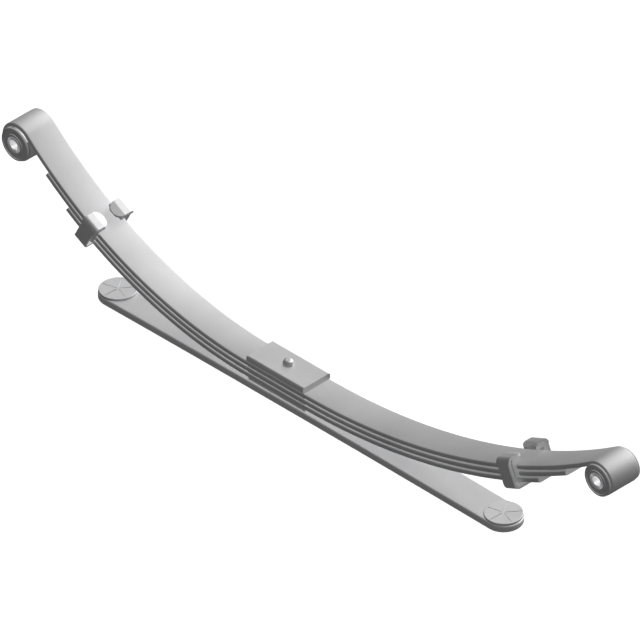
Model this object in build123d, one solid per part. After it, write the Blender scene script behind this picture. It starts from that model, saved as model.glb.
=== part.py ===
"""Light-truck rear leaf spring: three curved leaves over a thick flat helper leaf.

The frame: +X runs from the front (short) half to the rear (long) half, +Y is across the
leaves and +Z is up. The origin is on the centre bolt's axis, on the top face of the seat
plate. All sizes are in millimetres, at the free (unloaded) arch.
"""

from build123d import *
from math import asin, atan2, cos, degrees, radians, sin
import os

os.makedirs("parts", exist_ok=True)

# Leaves
LEAF_WIDTH = 63.5
LEAF_THICK = 8.0
LEAF_EDGE = 3.4  # rounded long edges of the rolled bar
LEAF_GAP = 3.4
LEAF_PITCH = LEAF_THICK + LEAF_GAP
CLAMP_HALF = 66.7  # half of the flat length under the seat plate
PLATE_THICK = 11.5
PLATE_EDGE = 4.0  # rounded long edges
SPACER_INSET = 4.0  # the liners between the leaves stop short of the leaves' sides
MAIN_TOP = -PLATE_THICK
MAIN_UNDER = MAIN_TOP - LEAF_THICK
SECOND_ENDS = (-539.5, 683.8)
THIRD_ENDS = (-492.3, 620.2)

# Eyes: the leaf turns down and round, and its tip tucks in under the leaf
EYE_HEIGHT = 162.4
FRONT_EYE_X = -610.6
REAR_EYE_X = 760.4
FRONT_EYE_BORE_R = 25.0
REAR_EYE_BORE_R = 22.0
# From each eye's centre, square to the leaf, up to the leaf's top face
FRONT_EYE_REACH = 40.2
REAR_EYE_REACH = 33.2
# Each curl's tip stops this far short of a full turn, clear of the leaf's underside
FRONT_TIP_ANGLE = 17.0
REAR_TIP_ANGLE = 42.0

# Helper leaf, rolled a little wider than the others
HELPER_WIDTH = 68.0
HELPER_THICK = 13.2
HELPER_EDGE = 3.8
HELPER_GAP = 6.3
HELPER_TOP = MAIN_TOP - 3 * LEAF_THICK - 2 * LEAF_GAP - HELPER_GAP
HELPER_UNDER = HELPER_TOP - HELPER_THICK
HELPER_DROOP_R = 30000.0
PAD_X = (-405.0, 504.7)
PAD_R = 33.0
PAD_THICK = 4.8
PAD_GROOVES = 5
PAD_GROOVE_START = 268.0
PAD_STEM_R = 6.0
PAD_HOLE_R = 6.4
PAD_SKIN = 0.1  # clear of the leaf
PAD_GROOVE_WIDE = 1.8
PAD_GROOVE_DEEP = 1.6

# Centre bolt
BOLT_R = 5.6
BOLT_HOLE_R = 6.0
BOLT_HEAD_R = 9.3
BOLT_HEAD_HIGH = 10.0
BOLT_HEAD_ROUND = 5.4
NUT_FLATS = 19.0
NUT_HIGH = 9.5
BOLT_TAIL = 4.0

# Bushes, one row for each eye: (name, eye x, eye bore radius, flange radius)
BUSHES = (
    ("front", FRONT_EYE_X, FRONT_EYE_BORE_R, 30.6),
    ("rear", REAR_EYE_X, REAR_EYE_BORE_R, 29.0),
)
BUSH_SLEEVE_WALL = 1.8
BUSH_CLEARANCE = 0.05
BUSH_INNER_R = 15.0
BUSH_BORE_R = 9.15
BUSH_LENGTH = 73.7
BUSH_COLLAR_R = 19.0
SERRATIONS = 24
SERRATION_DEEP = 0.7

# Rebound clips, one row for each: (name, x on the main leaf's top, depth below that top)
CLIPS = (("front", -431.0, 39.0), ("rear", 554.5, 39.5))
STRAP_THICK = 4.6
STRAP_WIDTH = 27.5
TAB_WIDTH = 32.0
TAB_HIGH = 17.5
TAB_BEND_Y = 24.0
TAB_REACH = 14.0
TAB_DROP = 3.4
STRAP_BEND_R = 6.0  # inside radius of the strap's corners
ARM_INNER_Y = 42.0  # from the middle of the leaf to the inside of an arm
LINER_THICK = 7.4
LINER_SIDE_GAP = 0.3
LINER_PAD_THICK = 7.0
LINER_TOP_GAP = 1.1  # room for the tab's slope
LINER_RIB_WIDTH = 25.0
LINER_SKIN = 0.1  # clear of the arm
RIVET_R = 5.0
RIVET_HEAD_R = 8.0
RIVET_HEAD_HIGH = 3.5
CLIP_SPACER_R = 11.0

# Plastic inserts near the tips of the second and third leaves
INSERT_LENGTH = 46.0
INSERT_WIDTH = 46.0
INSERT_INSET = 30.0  # from the leaf's end to the insert's middle
INSERT_STEM_R = 6.0
INSERT_HOLE_R = 6.3
INSERT_SKIN = 0.1  # clear of the leaves above and below


def point(x, z):
    """A point on the spring's middle plane."""
    return Vector(x, 0, z)


def arc(centre, radius, start, end):
    """A circular arc on the middle plane, between two angles in degrees from +X towards +Z."""

    def on_arc(angle):
        turn = radians(angle)
        return centre + point(radius * cos(turn), radius * sin(turn))

    return ThreePointArc(on_arc(start), on_arc((start + end) / 2), on_arc(end))


class Half:
    """One half of the spring: its arch and its eye. side is -1 for the front, 1 for the rear."""

    def __init__(self, side, eye_x, bore_r, eye_reach, tip_angle):
        self.side = side
        self.eye = point(eye_x, EYE_HEIGHT)
        self.bore_r = bore_r
        self.eye_reach = eye_reach
        self.tip_angle = tip_angle
        run = abs(eye_x) - CLAMP_HALF
        rise = EYE_HEIGHT - MAIN_UNDER
        # The arch starts flat at the clamp and passes over the eye at the eye's reach.
        below = eye_reach - LEAF_THICK
        self.under_r = (run**2 + rise**2 - below**2) / (2 * (rise + below))
        self.top_r = self.under_r - LEAF_THICK
        self.centre = point(side * CLAMP_HALF, MAIN_UNDER + self.under_r)

    def at(self, angle, depth=0.0):
        """The point under the main leaf's top, at an angle in degrees along the arch."""
        turn = radians(angle)
        reach = self.top_r + depth
        return self.centre + point(self.side * reach * sin(turn), -reach * cos(turn))

    def angle_at(self, x, depth=0.0):
        """The angle along the arch where a line at that depth passes over x."""
        return degrees(asin((abs(x) - CLAMP_HALF) / (self.top_r + depth)))

    def frame_at(self, angle, depth=0.0):
        """A plane on the arch: x along the leaf towards the rear, z away from its underside."""
        turn = radians(angle)
        along = Vector(cos(turn), 0, self.side * sin(turn))
        out = Vector(-self.side * sin(turn), 0, cos(turn))
        return Plane(origin=self.at(angle, depth), x_dir=along, z_dir=out)

    def arch(self, end_angle, depth):
        """The arch's line at that depth, from the clamp outwards."""
        flat = 270.0
        return arc(self.centre, self.top_r + depth, flat, flat + self.side * end_angle)

    def curl(self):
        """The main leaf's middle line round the eye, and the arch's angle where it starts."""
        mid = LEAF_THICK / 2
        up = self.centre - self.eye
        lean = degrees(atan2(up.Z, up.X))
        arch_angle = degrees(atan2(abs(up.X), up.Z))
        # A half turn eases from the leaf down to the ring; the ring carries on to the tip.
        ring = self.bore_r + mid
        ease_r = (self.eye_reach - mid + ring) / 2
        ease = self.eye + up.normalized() * (self.eye_reach - mid - ease_r)
        join = lean - self.side * 180
        tip = lean - self.side * (360 - self.tip_angle)
        return [arc(ease, ease_r, lean, join), arc(self.eye, ring, join, tip)], arch_angle


FRONT = Half(-1, FRONT_EYE_X, FRONT_EYE_BORE_R, FRONT_EYE_REACH, FRONT_TIP_ANGLE)
REAR = Half(1, REAR_EYE_X, REAR_EYE_BORE_R, REAR_EYE_REACH, REAR_TIP_ANGLE)
HALVES = {"front": FRONT, "rear": REAR}


def save(solid, name):
    """Write one sub-part to its own file."""
    solid.label = name
    export_step(solid, f"parts/{name}.step")


def bar(edges, width, thick, edge_radius):
    """A flat bar with rounded long edges, bent along the edges' line."""
    path = Wire(edges)
    start = path.position_at(0)
    plane = Plane(origin=start, x_dir=(0, 1, 0), z_dir=path.tangent_at(0))
    return sweep(plane * RectangleRounded(width, thick, edge_radius), path=path)


def upright_hole(x, radius):
    """A tall cutter along Z through the clamped stack."""
    return Pos(x, 0, 0) * Cylinder(radius, 400)


def square_hole(half, angle, radius):
    """A cutter square to the arch, from above the main leaf to below the third."""
    depth = 3 * LEAF_PITCH
    plane = half.frame_at(angle, depth / 2)
    return plane * Cylinder(radius, depth + 20)


def insert_angle(name, ends, depth):
    """Where a leaf's tip insert sits along the arch."""
    end_x = ends[0] if name == "front" else ends[1]
    half = HALVES[name]
    inset = degrees(INSERT_INSET / (half.top_r + depth))
    return half.angle_at(end_x, depth) - inset


def clip_angle(name, x):
    """Where a clip sits along the arch."""
    return HALVES[name].angle_at(x)


def main_leaf():
    """The longest leaf, with an eye curled at each end."""
    mid = LEAF_THICK / 2
    front_curl, front_angle = FRONT.curl()
    rear_curl, rear_angle = REAR.curl()
    flat_z = MAIN_TOP - mid
    edges = [
        front_curl[1],
        front_curl[0],
        FRONT.arch(front_angle, mid),
        Line(point(-CLAMP_HALF, flat_z), point(CLAMP_HALF, flat_z)),
        REAR.arch(rear_angle, mid),
        rear_curl[0],
        rear_curl[1],
    ]
    leaf = bar(edges, LEAF_WIDTH, LEAF_THICK, LEAF_EDGE)
    return leaf - upright_hole(0, BOLT_HOLE_R)


def plain_leaf(number, ends):
    """A leaf under the main one, cut square, with holes near its tips for the inserts."""
    depth = LEAF_THICK / 2 + number * LEAF_PITCH
    flat_z = MAIN_TOP - depth
    edges = [
        FRONT.arch(FRONT.angle_at(ends[0], depth), depth),
        Line(point(-CLAMP_HALF, flat_z), point(CLAMP_HALF, flat_z)),
        REAR.arch(REAR.angle_at(ends[1], depth), depth),
    ]
    leaf = bar(edges, LEAF_WIDTH, LEAF_THICK, LEAF_EDGE) - upright_hole(0, BOLT_HOLE_R)
    for name, half in HALVES.items():
        leaf -= square_hole(half, insert_angle(name, ends, depth), INSERT_HOLE_R)
    return leaf


def third_leaf():
    """The shortest curved leaf, which also carries the rebound clips' rivets."""
    leaf = plain_leaf(2, THIRD_ENDS)
    top = 2 * LEAF_PITCH
    for name, x, _ in CLIPS:
        seat = HALVES[name].frame_at(clip_angle(name, x), top)
        leaf -= seat * Cylinder(RIVET_R + 0.1, 60)
        leaf -= seat * Pos(0, 0, -1.5) * Cone(RIVET_R + 0.1, RIVET_R + 3.3, 3.2)
    return leaf


def helper_line(z):
    """The helper leaf's long line at height z: flat in the middle, drooping outwards."""
    front_turn = asin((-PAD_X[0] + PAD_R + 5 - CLAMP_HALF) / HELPER_DROOP_R)
    rear_turn = asin((PAD_X[1] + PAD_R + 5 - CLAMP_HALF) / HELPER_DROOP_R)
    reach = HELPER_DROOP_R + z - HELPER_TOP
    front = arc(point(-CLAMP_HALF, z - reach), reach, 90 + degrees(front_turn), 90)
    flat = Line(point(-CLAMP_HALF, z), point(CLAMP_HALF, z))
    rear = arc(point(CLAMP_HALF, z - reach), reach, 90, 90 - degrees(rear_turn))
    return front, flat, rear


def helper_leaf():
    """The thick overload leaf: nearly straight, with full-round ends and a hole for each pad."""
    top = helper_line(HELPER_TOP)
    under = helper_line(HELPER_UNDER)
    caps = [Line(top[0] @ 0, under[0] @ 0), Line(top[2] @ 1, under[2] @ 1)]
    side = Face(Wire([*top, *under, *caps]))
    slab = extrude(side, amount=HELPER_WIDTH / 2 + 5, dir=(0, 1, 0), both=True)
    middle = (PAD_X[0] + PAD_X[1]) / 2
    outline = Pos(middle, 0) * SlotCenterToCenter(PAD_X[1] - PAD_X[0], HELPER_WIDTH)
    leaf = slab & extrude(outline, amount=200, both=True)
    rims = [e for e in leaf.edges() if abs((e.tangent_at(0.5)).Z) < 0.2]
    leaf = fillet(rims, HELPER_EDGE)
    for x in (0, *PAD_X):
        leaf -= upright_hole(x, BOLT_HOLE_R if x == 0 else PAD_HOLE_R)
    return leaf


def helper_frame(x):
    """Where the helper leaf's top is at x, leaning as the leaf droops there."""
    run = abs(x) - CLAMP_HALF
    drop = run**2 / (2 * HELPER_DROOP_R)
    lean = degrees(asin(run / HELPER_DROOP_R))
    return Pos(x, 0, HELPER_TOP - drop) * Rot(0, lean if x > 0 else -lean, 0)


def helper_pad(x):
    """A round bearing pad: five radial grooves on top, and a barbed stem through the leaf."""
    disc = Pos(0, 0, PAD_THICK / 2 + PAD_SKIN) * Cylinder(PAD_R, PAD_THICK)
    disc = fillet(disc.edges(), 1.2)
    groove = Pos(PAD_R / 2, 0, 0) * Box(PAD_R - 6, PAD_GROOVE_WIDE, 2 * PAD_GROOVE_DEEP)
    for i in range(PAD_GROOVES):
        turn = PAD_GROOVE_START + i * 360 / PAD_GROOVES
        disc -= Pos(0, 0, PAD_THICK + PAD_SKIN) * Rot(0, 0, turn) * groove
    stem_long = HELPER_THICK + 4.0
    stem = Pos(0, 0, 2 - stem_long / 2) * Cylinder(PAD_STEM_R, stem_long)
    barb = Pos(0, 0, -HELPER_THICK - 2.4) * Cone(PAD_STEM_R - 1.5, PAD_STEM_R + 1.6, 3.0)
    return helper_frame(x) * (disc + stem + barb)


def seat_plate():
    """The thick plate on top of the stack that the axle seat bears on."""
    plate = Pos(0, 0, -PLATE_THICK / 2) * Box(2 * CLAMP_HALF, LEAF_WIDTH, PLATE_THICK)
    plate = fillet(plate.edges().filter_by(Axis.X), PLATE_EDGE)
    return plate - upright_hole(0, BOLT_HOLE_R)


def stack_spacer(top, thick):
    """A flat liner between two leaves, as long as the seat plate."""
    plate = Pos(0, 0, top - thick / 2) * Box(2 * CLAMP_HALF, LEAF_WIDTH - 2 * SPACER_INSET, thick)
    return plate - upright_hole(0, BOLT_HOLE_R)


def centre_bolt():
    """Round-headed bolt through the whole stack; its head locates the axle seat."""
    low = HELPER_UNDER - NUT_HIGH - BOLT_TAIL
    shank = Pos(0, 0, low / 2) * Cylinder(BOLT_R, -low)
    shank = chamfer(shank.edges().sort_by(Axis.Z)[0], 1.0)
    head = Pos(0, 0, BOLT_HEAD_HIGH / 2) * Cylinder(BOLT_HEAD_R, BOLT_HEAD_HIGH)
    head = fillet(head.edges().sort_by(Axis.Z)[-1], BOLT_HEAD_ROUND)
    return shank + head


def centre_bolt_nut():
    """Hex nut under the helper leaf."""
    corner = NUT_FLATS / 2 / cos(radians(30))
    nut = extrude(RegularPolygon(corner, 6), amount=NUT_HIGH)
    bevel = Pos(0, 0, NUT_HIGH / 2) * Cylinder(corner, NUT_HIGH)
    bevel = chamfer(bevel.edges().filter_by(GeomType.CIRCLE), 1.2)
    nut = (nut & bevel) - Cylinder(BOLT_R, 60)
    return Pos(0, 0, HELPER_UNDER - NUT_HIGH) * nut


def across(x, z, solid):
    """Turn a solid made along Z to lie along Y, and put it at an eye."""
    return Pos(x, 0, z) * Rot(90, 0, 0) * solid


def bush_outer_sleeve(x, bore_r):
    """The steel shell in the eye."""
    outer = bore_r - BUSH_CLEARANCE
    shell = Cylinder(outer, LEAF_WIDTH) - Cylinder(outer - BUSH_SLEEVE_WALL, 90)
    return across(x, EYE_HEIGHT, chamfer(shell.edges().filter_by(GeomType.CIRCLE), 0.5))


def bush_rubber(x, bore_r, flange_r):
    """The moulded rubber: a body inside the shell and a rounded flange on each side."""
    body_r = bore_r - BUSH_CLEARANCE - BUSH_SLEEVE_WALL
    proud = (BUSH_LENGTH - LEAF_WIDTH) / 2 - 0.6
    rubber = Cylinder(body_r, LEAF_WIDTH)
    for side in (-1, 1):
        flange = Pos(0, 0, side * (LEAF_WIDTH + proud) / 2) * Cylinder(flange_r, proud)
        rim = flange.edges().filter_by(GeomType.CIRCLE).sort_by(Axis.Z)
        flange = fillet(rim[-1] if side > 0 else rim[0], 2.2)
        face = LEAF_WIDTH / 2 + proud
        ditch = Cylinder(flange_r - 4, 2.4) - Cylinder(BUSH_COLLAR_R, 2.4)
        rubber += flange - Pos(0, 0, side * face) * ditch
    rubber -= Cylinder(BUSH_INNER_R + BUSH_CLEARANCE, 90)
    return across(x, EYE_HEIGHT, rubber)


def bush_inner_sleeve(x):
    """The steel tube that the mounting bolt clamps, with serrated end faces."""
    tube = Cylinder(BUSH_INNER_R, BUSH_LENGTH) - Cylinder(BUSH_BORE_R, 90)
    wall = BUSH_INNER_R - BUSH_BORE_R
    notch = Pos(BUSH_BORE_R + wall / 2, 0, 0) * Box(wall + 2, 1.3, 2 * SERRATION_DEEP)
    for side in (-1, 1):
        for i in range(SERRATIONS):
            turn = Rot(0, 0, i * 360 / SERRATIONS)
            tube -= Pos(0, 0, side * BUSH_LENGTH / 2) * turn * notch
    return across(x, EYE_HEIGHT, tube)


def strap_line(depth):
    """The strap's middle line in a clip's own plane: y across, z up from the main leaf's top."""
    half = ARM_INNER_Y + STRAP_THICK / 2
    high = TAB_HIGH - STRAP_THICK / 2
    low = STRAP_THICK / 2 - depth
    right = [
        Vector(0, half, low),
        Vector(0, half, high),
        Vector(0, TAB_BEND_Y, high),
        Vector(0, TAB_BEND_Y - TAB_REACH, high - TAB_DROP),
    ]
    left = [Vector(0, -v.Y, v.Z) for v in reversed(right)]
    bend = STRAP_BEND_R + STRAP_THICK / 2
    return FilletPolyline(*left, *right, radius=bend)


def clip_strap(depth):
    """A rebound clip: a strap bent round the leaves, with D-shaped tabs over the main leaf."""
    path = Wire(strap_line(depth).edges())
    plane = Plane(origin=path.position_at(0), x_dir=(1, 0, 0), z_dir=path.tangent_at(0))
    strap = sweep(plane * Rectangle(TAB_WIDTH, STRAP_THICK), path=path)
    # The arms and the bottom are narrower than the tabs.
    arm_top = TAB_HIGH - STRAP_THICK - STRAP_BEND_R
    for side in (-1, 1):
        trim = Box(20, 200, 200)
        strap -= Pos(side * (STRAP_WIDTH / 2 + 10), 0, arm_top - 100) * trim
    # Each tab's end is a half ellipse in plan.
    for side in (-1, 1):
        block = Box(TAB_WIDTH + 10, TAB_REACH + 6, 20)
        keep = extrude(Ellipse(TAB_WIDTH / 2, TAB_REACH + 0.5), amount=15, both=True)
        corner = Pos(0, -(TAB_REACH + 6) / 2, 0) * block - keep
        strap -= Rot(0, 0, 180 if side < 0 else 0) * Pos(0, TAB_BEND_Y, TAB_HIGH) * corner
    rivet = Pos(0, 0, -depth) * Cylinder(RIVET_R + 0.1, 30)
    return strap - rivet


def clip_liner(side):
    """A moulded liner inside one arm: a wall beside the leaves and a round-nosed pad on top.

    A narrower rib on the wall's back meets the arm and leaves a groove along its edges.
    """
    inner = LEAF_WIDTH / 2 + LINER_SIDE_GAP
    outer = inner + LINER_THICK
    back = ARM_INNER_Y - LINER_SKIN
    roof = TAB_HIGH - STRAP_THICK - LINER_TOP_GAP
    floor = roof - LINER_PAD_THICK
    foot = -(LEAF_THICK + LEAF_PITCH)
    nose = TAB_BEND_Y - TAB_REACH / 2
    wall = Box(TAB_WIDTH, LINER_THICK, roof - foot)
    pad = Box(TAB_WIDTH, outer - nose, LINER_PAD_THICK)
    body = Pos(0, (inner + outer) / 2, (roof + foot) / 2) * wall
    body += Pos(0, (nose + outer) / 2, (roof + floor) / 2) * pad
    corners = body.edges().filter_by(Axis.X)
    body = fillet([e for e in corners if e.center().Y < nose + 0.1], LINER_PAD_THICK / 2 - 0.1)
    corners = body.edges().filter_by(Axis.X)
    top = [e for e in corners if e.center().Y > outer - 0.1 and e.center().Z > floor]
    body = fillet(top, STRAP_BEND_R)
    rib_top = TAB_HIGH - STRAP_THICK - STRAP_BEND_R
    rib = Box(LINER_RIB_WIDTH, back - inner - 1, rib_top - foot)
    body += Pos(0, (back + inner + 1) / 2, (rib_top + foot) / 2) * rib
    return body if side > 0 else Rot(0, 0, 180) * body


def clip_rivet(depth):
    """The rivet that holds a clip to the third leaf, its upper head sunk flush."""
    leaf_top = -2 * LEAF_PITCH
    head_z = -depth
    shank_long = leaf_top - head_z
    shank = Pos(0, 0, (leaf_top + head_z) / 2 - 0.2) * Cylinder(RIVET_R, shank_long - 0.4)
    upset = Pos(0, 0, leaf_top - 1.9) * Cone(RIVET_R, RIVET_R + 2.6, 2.6)
    head = Pos(0, 0, head_z - RIVET_HEAD_HIGH / 2) * Cylinder(RIVET_HEAD_R, RIVET_HEAD_HIGH)
    head = fillet(head.edges().sort_by(Axis.Z)[0], RIVET_HEAD_HIGH - 0.6)
    return shank + upset + head


def clip_spacer(depth):
    """The collar round the rivet, between the third leaf and the strap's bottom."""
    top = -2 * LEAF_PITCH - LEAF_THICK
    low = STRAP_THICK - depth
    collar = Cylinder(CLIP_SPACER_R, top - low) - Cylinder(RIVET_R + 0.1, 40)
    return Pos(0, 0, (top + low) / 2) * collar


def tip_insert(number, name, ends):
    """A low-friction button on a leaf's tip, with its stem in the leaf's hole."""
    depth = LEAF_THICK / 2 + number * LEAF_PITCH
    half = HALVES[name]
    angle = insert_angle(name, ends, depth)
    turn = degrees(INSERT_LENGTH / 2 / (half.top_r + depth))
    mid = number * LEAF_PITCH - LEAF_GAP / 2
    flat = 270.0
    edge = arc(
        half.centre,
        half.top_r + mid,
        flat + half.side * (angle - turn),
        flat + half.side * (angle + turn),
    )
    pad = bar([edge], INSERT_WIDTH, LEAF_GAP - 2 * INSERT_SKIN, 0.8)
    stem = half.frame_at(angle, mid + LEAF_THICK / 2) * Cylinder(INSERT_STEM_R, LEAF_THICK)
    return pad + stem


save(main_leaf(), "main_leaf")
save(plain_leaf(1, SECOND_ENDS), "second_leaf")
save(third_leaf(), "third_leaf")
save(helper_leaf(), "helper_leaf")
save(seat_plate(), "seat_plate")
save(stack_spacer(MAIN_UNDER, LEAF_GAP), "main_to_second_spacer")
save(stack_spacer(MAIN_UNDER - LEAF_PITCH, LEAF_GAP), "second_to_third_spacer")
save(stack_spacer(HELPER_TOP + HELPER_GAP, HELPER_GAP), "third_to_helper_spacer")
save(centre_bolt(), "centre_bolt")
save(centre_bolt_nut(), "centre_bolt_nut")

for pad_name, pad_x in zip(HALVES, PAD_X):
    save(helper_pad(pad_x), f"{pad_name}_helper_pad")

for bush_name, bush_x, eye_bore, bush_flange in BUSHES:
    save(bush_outer_sleeve(bush_x, eye_bore), f"{bush_name}_bush_outer_sleeve")
    save(bush_rubber(bush_x, eye_bore, bush_flange), f"{bush_name}_bush_rubber")
    save(bush_inner_sleeve(bush_x), f"{bush_name}_bush_inner_sleeve")

for clip_name, clip_x, clip_depth in CLIPS:
    seat = HALVES[clip_name].frame_at(clip_angle(clip_name, clip_x))
    save(seat * clip_strap(clip_depth), f"{clip_name}_clip_strap")
    save(seat * clip_liner(1), f"{clip_name}_clip_left_liner")
    save(seat * clip_liner(-1), f"{clip_name}_clip_right_liner")
    save(seat * clip_rivet(clip_depth), f"{clip_name}_clip_rivet")
    save(seat * clip_spacer(clip_depth), f"{clip_name}_clip_spacer")

for leaf_name, leaf_number, leaf_ends in (("second", 1, SECOND_ENDS), ("third", 2, THIRD_ENDS)):
    for end_name in HALVES:
        insert = tip_insert(leaf_number, end_name, leaf_ends)
        save(insert, f"{leaf_name}_leaf_{end_name}_tip_insert")
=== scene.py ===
from math import asin, atan2, cos, pi, radians, sin, sqrt

import bpy
from mathutils import Matrix, Vector


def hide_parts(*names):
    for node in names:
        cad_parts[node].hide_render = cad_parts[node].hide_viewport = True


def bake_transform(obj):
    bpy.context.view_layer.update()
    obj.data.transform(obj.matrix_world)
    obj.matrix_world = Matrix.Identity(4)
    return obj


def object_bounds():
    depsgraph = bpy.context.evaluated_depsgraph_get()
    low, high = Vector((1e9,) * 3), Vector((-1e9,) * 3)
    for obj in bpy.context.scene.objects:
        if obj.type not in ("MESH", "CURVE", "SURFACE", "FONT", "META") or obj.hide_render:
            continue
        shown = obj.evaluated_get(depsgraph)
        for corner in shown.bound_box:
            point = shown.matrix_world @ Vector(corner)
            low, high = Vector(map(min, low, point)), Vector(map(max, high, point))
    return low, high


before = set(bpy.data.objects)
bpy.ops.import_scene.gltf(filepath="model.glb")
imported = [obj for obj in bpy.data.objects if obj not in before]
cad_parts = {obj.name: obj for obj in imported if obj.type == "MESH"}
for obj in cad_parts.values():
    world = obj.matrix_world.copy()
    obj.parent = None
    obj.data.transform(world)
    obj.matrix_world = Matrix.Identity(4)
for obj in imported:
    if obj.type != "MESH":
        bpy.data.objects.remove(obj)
cad_box = [list(corner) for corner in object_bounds()]

# The spring's sizes in metres, as in the CAD
WIDTH = 0.0635
THICK = 0.008
EDGE_R = 0.0034
PITCH = 0.0114
CLAMP_HALF = 0.0667
MAIN_TOP = -0.0115
MAIN_UNDER = MAIN_TOP - THICK
EYE_Z = 0.1624
SECOND_ENDS = (-0.5395, 0.6838)
THIRD_ENDS = (-0.4923, 0.6202)

# Plastic inserts between the leaves, near their tips
INSERT_LENGTH = 0.046
INSERT_WIDTH = 0.046
INSERT_THICK = 0.0032
INSERT_EDGE_R = 0.0008
INSERT_INSET = 0.030  # from the leaf's end to the insert's middle

# How finely the leaves are divided
STEP = 0.008  # along the leaves between cross-sections
FLAT_STEPS = 8  # from the centre bolt to where the arch starts
EASE_STEPS = 24  # round the outer half of an eye
CURL_STEPS = 22  # round the rest of an eye
SECTION_STEPS = 5  # edges round each corner of a leaf's cross-section
SMOOTH_ANGLE = radians(40)  # edges sharper than this stay crisp

# The floor
FLOOR_GAP = 0.0005  # clear of the bolt's end
FLOOR_HALF = 40
FLOOR_GLOW = 0.4


def polar(centre, radius, angle):
    """A point on the middle plane: angle in radians from +X towards +Z."""
    return Vector((centre.x + radius * cos(angle), 0, centre.z + radius * sin(angle)))


class Half:
    """One half of the spring: its arch, its eye and where the clip divides it into two
    stretches.
    """

    def __init__(self, name, side, eye_x, bore_r, reach, tip_angle, clip_x):
        self.name = name
        self.side = side
        self.eye = Vector((eye_x, 0, EYE_Z))
        self.bore_r = bore_r
        self.reach = reach
        self.tip = radians(tip_angle)
        run = abs(eye_x) - CLAMP_HALF
        rise = EYE_Z - MAIN_UNDER
        below = reach - THICK
        under_r = (run**2 + rise**2 - below**2) / (2 * (rise + below))
        self.top_r = under_r - THICK
        self.centre = Vector((side * CLAMP_HALF, 0, MAIN_UNDER + under_r))
        up = self.centre - self.eye
        self.lean = atan2(up.z, up.x)
        self.up = up.normalized()
        self.eye_turn = atan2(abs(up.x), up.z)
        self.clip_turn = asin((abs(clip_x) - CLAMP_HALF) / self.top_r)

    def at(self, turn, depth):
        """The point under the main leaf's top, at an angle along the arch."""
        return polar(self.centre, self.top_r + depth, self.side * turn - pi / 2)

    def turn_at(self, x, depth):
        return asin((abs(x) - CLAMP_HALF) / (self.top_r + depth))

    def arch(self, depth, start, end):
        """Points along the arch, between two angles."""
        count = max(2, round((self.top_r + depth) * (end - start) / STEP))
        return [self.at(start + (end - start) * i / count, depth) for i in range(count + 1)]

    def flat(self, depth):
        """Points from the centre bolt out to where the arch starts."""
        step = self.side * CLAMP_HALF / FLAT_STEPS
        z = MAIN_TOP - depth
        return [Vector((step * i, 0, z)) for i in range(FLAT_STEPS)]

    def curl(self):
        """Points round the eye, after the arch, at the leaf's middle line."""
        ring = self.bore_r + THICK / 2
        ease_r = (self.reach - THICK / 2 + ring) / 2
        ease = self.eye + self.up * (self.reach - THICK / 2 - ease_r)
        points = [
            polar(ease, ease_r, self.lean - self.side * pi * i / EASE_STEPS)
            for i in range(1, EASE_STEPS + 1)
        ]
        sweep = pi - self.tip
        points += [
            polar(self.eye, ring, self.lean - self.side * (pi + sweep * i / CURL_STEPS))
            for i in range(1, CURL_STEPS + 1)
        ]
        return points

    def bend(self, piece, inner):
        """Bake a piece's placement into its mesh; the stretch inside the clip and the one
        outside it are treated alike.
        """
        if inner:
            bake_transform(piece)
        else:
            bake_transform(piece)


HALVES = (
    Half("front", -1, -0.6106, 0.025, 0.0402, 17, -0.431),
    Half("rear", 1, 0.7604, 0.022, 0.0332, 42, 0.5545),
)


def section(width, thick, edge_r):
    """A rounded rectangle round the leaf's line, as (across, up) pairs."""
    points = []
    for corner, (sy, sz) in enumerate(((1, 1), (-1, 1), (-1, -1), (1, -1))):
        for i in range(SECTION_STEPS + 1):
            turn = (corner + i / SECTION_STEPS) * pi / 2
            y = sy * (width / 2 - edge_r) + edge_r * cos(turn)
            z = sz * (thick / 2 - edge_r) + edge_r * sin(turn)
            points.append((y, z))
    return points


def bar(name, line, width, thick, edge_r, material):
    """A bar with rounded edges along a line on the middle plane, closed at both ends."""
    rim = section(width, thick, edge_r)
    vertices = []
    for i, point in enumerate(line):
        before = line[max(i - 1, 0)]
        after = line[min(i + 1, len(line) - 1)]
        along = (after - before).normalized()
        up = Vector((-along.z, 0, along.x))
        for y, z in rim:
            vertices.append(point + Vector((0, y, 0)) + up * z)
    count = len(rim)
    faces = []
    for i in range(len(line) - 1):
        for j in range(count):
            k = (j + 1) % count
            a = i * count
            faces.append((a + j, a + k, a + count + k, a + count + j))
    faces.append(tuple(reversed(range(count))))
    last = (len(line) - 1) * count
    faces.append(tuple(range(last, last + count)))
    mesh = bpy.data.meshes.new(name)
    mesh.from_pydata(vertices, [], faces)
    mesh.validate()
    mesh.shade_smooth()
    mesh.set_sharp_from_angle(angle=SMOOTH_ANGLE)
    mesh.materials.append(material)
    piece = bpy.data.objects.new(name, mesh)
    bpy.context.scene.collection.objects.link(piece)
    return piece


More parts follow.
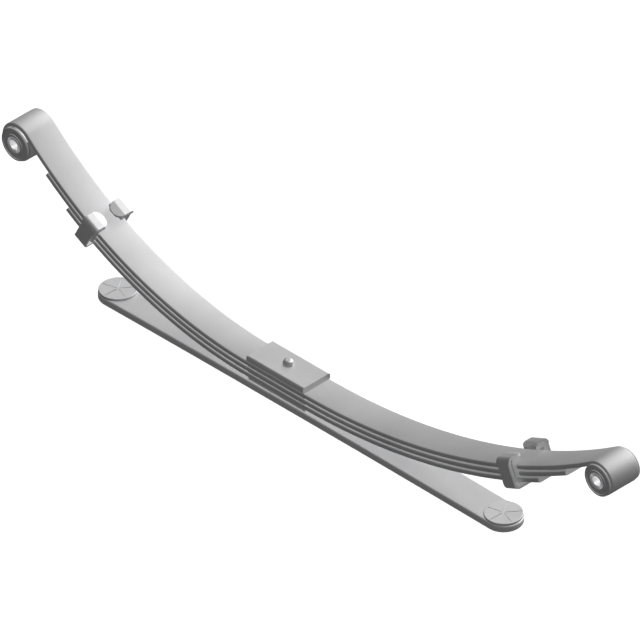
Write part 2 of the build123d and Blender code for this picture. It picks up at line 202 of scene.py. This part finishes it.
def finish_material(name, dark, light, rough, scale, bump, metallic=0.0, spread=0.06):
    """A satin finish: cloudy colour, fine grain in the gloss and a slight unevenness."""
    material = bpy.data.materials.new(name)
    material.use_nodes = True
    nodes = material.node_tree.nodes
    links = material.node_tree.links
    shader = nodes["Principled BSDF"]
    shader.inputs["Metallic"].default_value = metallic
    place = nodes.new("ShaderNodeTexCoord")
    cloud = nodes.new("ShaderNodeTexNoise")
    cloud.inputs["Scale"].default_value = scale
    cloud.inputs["Detail"].default_value = 6
    grain = nodes.new("ShaderNodeTexNoise")
    grain.inputs["Scale"].default_value = scale * 30
    grain.inputs["Detail"].default_value = 3
    ramp = nodes.new("ShaderNodeValToRGB")
    ramp.color_ramp.elements[0].position = 0.3
    ramp.color_ramp.elements[0].color = (*dark, 1)
    ramp.color_ramp.elements[1].position = 0.7
    ramp.color_ramp.elements[1].color = (*light, 1)
    gloss = nodes.new("ShaderNodeMapRange")
    gloss.inputs["To Min"].default_value = rough - spread
    gloss.inputs["To Max"].default_value = rough + spread
    relief = nodes.new("ShaderNodeBump")
    relief.inputs["Strength"].default_value = bump
    relief.inputs["Distance"].default_value = 0.0004
    links.new(place.outputs["Object"], cloud.inputs["Vector"])
    links.new(place.outputs["Object"], grain.inputs["Vector"])
    links.new(cloud.outputs["Fac"], ramp.inputs["Fac"])
    links.new(ramp.outputs["Color"], shader.inputs["Base Color"])
    links.new(grain.outputs["Fac"], gloss.inputs["Value"])
    links.new(gloss.outputs["Result"], shader.inputs["Roughness"])
    links.new(grain.outputs["Fac"], relief.inputs["Height"])
    links.new(relief.outputs["Normal"], shader.inputs["Normal"])
    return material


def grey(level):
    return (level, level, level * 1.01)


STEEL = finish_material("spring_steel", grey(0.53), grey(0.59), 0.66, 9, 0.08, 0.75)
HELPER = finish_material("helper_steel", grey(0.59), grey(0.65), 0.56, 9, 0.10, 0.6)
CLIP = finish_material("clip_steel", grey(0.54), grey(0.60), 0.52, 22, 0.08, 0.6)
PLATE = finish_material("plate_steel", grey(0.57), grey(0.63), 0.55, 14, 0.10, 0.6)
FASTENER = finish_material("zinc_steel", grey(0.58), grey(0.68), 0.48, 40, 0.08, 0.7)
SLEEVE = finish_material("machined_sleeve", grey(0.84), grey(0.94), 0.38, 60, 0.10, 0.8)
RUBBER = finish_material("bush_rubber", grey(0.44), grey(0.50), 0.55, 50, 0.20)
PAD = finish_material("pad_plastic", grey(0.60), grey(0.66), 0.60, 30, 0.10, 0.5)
LINER = finish_material("liner_plastic", grey(0.55), grey(0.60), 0.58, 30, 0.10, 0.5)

FINISH = (
    ("strap", CLIP),
    ("liner", LINER),
    ("rivet", FASTENER),
    ("clip_spacer", FASTENER),
    ("centre_bolt", FASTENER),
    ("sleeve", SLEEVE),
    ("rubber", RUBBER),
    ("helper_pad", PAD),
    ("helper_leaf", HELPER),
    ("seat_plate", PLATE),
    ("spacer", PLATE),
)


def finish_for(node):
    return next((material for word, material in FINISH if word in node), STEEL)


for node_name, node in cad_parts.items():
    node.data.materials.clear()
    node.data.materials.append(finish_for(node_name))

# The three curved leaves, each in four pieces, an inner and an outer one on each half
LEAVES = (
    ("main_leaf", 0, None),
    ("second_leaf", 1, SECOND_ENDS),
    ("third_leaf", 2, THIRD_ENDS),
)
for leaf, number, ends in LEAVES:
    depth = THICK / 2 + number * PITCH
    for half in HALVES:
        inner_line = half.flat(depth) + half.arch(depth, 0, half.clip_turn)
        if ends:
            end_turn = half.turn_at(ends[0] if half.side < 0 else ends[1], depth)
            outer_line = half.arch(depth, half.clip_turn, end_turn)
        else:
            outer_line = half.arch(depth, half.clip_turn, half.eye_turn) + half.curl()
        for part, line in (("inner", inner_line), ("outer", outer_line)):
            piece = bar(f"{leaf}_{half.name}_{part}", line, WIDTH, THICK, EDGE_R, STEEL)
            half.bend(piece, part == "inner")
            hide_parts(leaf)

# The plastic inserts, which follow the curve of the tips they sit on
for leaf, number, ends in LEAVES[1:]:
    depth = THICK / 2 + number * PITCH
    skin = number * PITCH - (PITCH - THICK) / 2
    for half in HALVES:
        tip = half.turn_at(ends[0] if half.side < 0 else ends[1], depth)
        middle = tip - INSERT_INSET / (half.top_r + depth)
        reach = INSERT_LENGTH / 2 / (half.top_r + depth)
        line = half.arch(skin, middle - reach, middle + reach)
        name = f"{leaf}_{half.name}_insert"
        piece = bar(name, line, INSERT_WIDTH, INSERT_THICK, INSERT_EDGE_R, LINER)
        half.bend(piece, False)
        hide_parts(f"{leaf}_{half.name}_tip_insert")

# A pale floor just under the object. Its faint glow keeps it near white.
low = cad_box[0][2] - FLOOR_GAP
floor_mesh = bpy.data.meshes.new("floor")
corners = [(-1, -1), (1, -1), (1, 1), (-1, 1)]
floor_corners = [(FLOOR_HALF * x, FLOOR_HALF * y, low) for x, y in corners]
floor_mesh.from_pydata(floor_corners, [], [(0, 1, 2, 3)])
floor = bpy.data.objects.new("floor", floor_mesh)
bpy.context.scene.collection.objects.link(floor)
floor_mesh.materials.append(finish_material("floor_paint", grey(0.93), grey(0.95), 0.9, 2, 0.0))
floor.visible_diffuse = False
floor.visible_glossy = False
glow = floor_mesh.materials[0].node_tree.nodes["Principled BSDF"]
glow.inputs["Emission Color"].default_value = (1, 1, 1, 1)
glow.inputs["Emission Strength"].default_value = FLOOR_GLOW

# Light: two soft broad lamps, from behind and from above, and a dim pale surround
world = bpy.data.worlds.new("studio")
bpy.context.scene.world = world
world.use_nodes = True
backdrop = world.node_tree.nodes["Background"]
backdrop.inputs["Color"].default_value = (1, 1, 1, 1)
backdrop.inputs["Strength"].default_value = 0.165


def sun(name, toward, strength, angle, shadow):
    """A distant soft light that shines from a direction."""
    light = bpy.data.lights.new(name, "SUN")
    light.energy = strength
    light.angle = radians(angle)
    light.use_shadow = shadow
    lamp = bpy.data.objects.new(name, light)
    lamp.rotation_mode = "QUATERNION"
    lamp.rotation_quaternion = Vector(toward).to_track_quat("Z", "Y")
    bpy.context.scene.collection.objects.link(lamp)


# The lamps stand in for an evenly lit studio, so their shadows are turned off.
sun("key", (0.0, 0.9, 0.5), 3.25, 60, False)
sun("fill", (0.35, 0.3, 0.9), 0.45, 40, False)

# The camera: a very long lens, looking the way the photograph was taken
right = Vector((1, 1, 0)) / sqrt(2)
up = Vector((-1, 1, 2)) / sqrt(6)
toward = Vector((1, -1, 1)) / sqrt(3)
target = Vector((-0.610, 0, 0.162)) + right * 0.48002 - up * 0.30823
# A small turn makes up for the little perspective that is left.
turn = Vector((-0.010883, 0.010453, 0.009897))
trim = Matrix.Rotation(turn.length, 3, turn)
right, up, toward = trim @ right, trim @ up, trim @ toward
camera_data = bpy.data.cameras.new("camera")
camera_data.lens = 1600
camera_data.sensor_width = 36
distance = 1.06295 * camera_data.lens / camera_data.sensor_width
camera_data.clip_end = 200
camera = bpy.data.objects.new("camera", camera_data)
pose = Matrix((right, up, toward)).transposed().to_4x4()
camera.matrix_world = Matrix.Translation(target + toward * distance) @ pose
bpy.context.scene.collection.objects.link(camera)
bpy.context.scene.camera = camera
bpy.context.scene.view_settings.view_transform = "Standard"
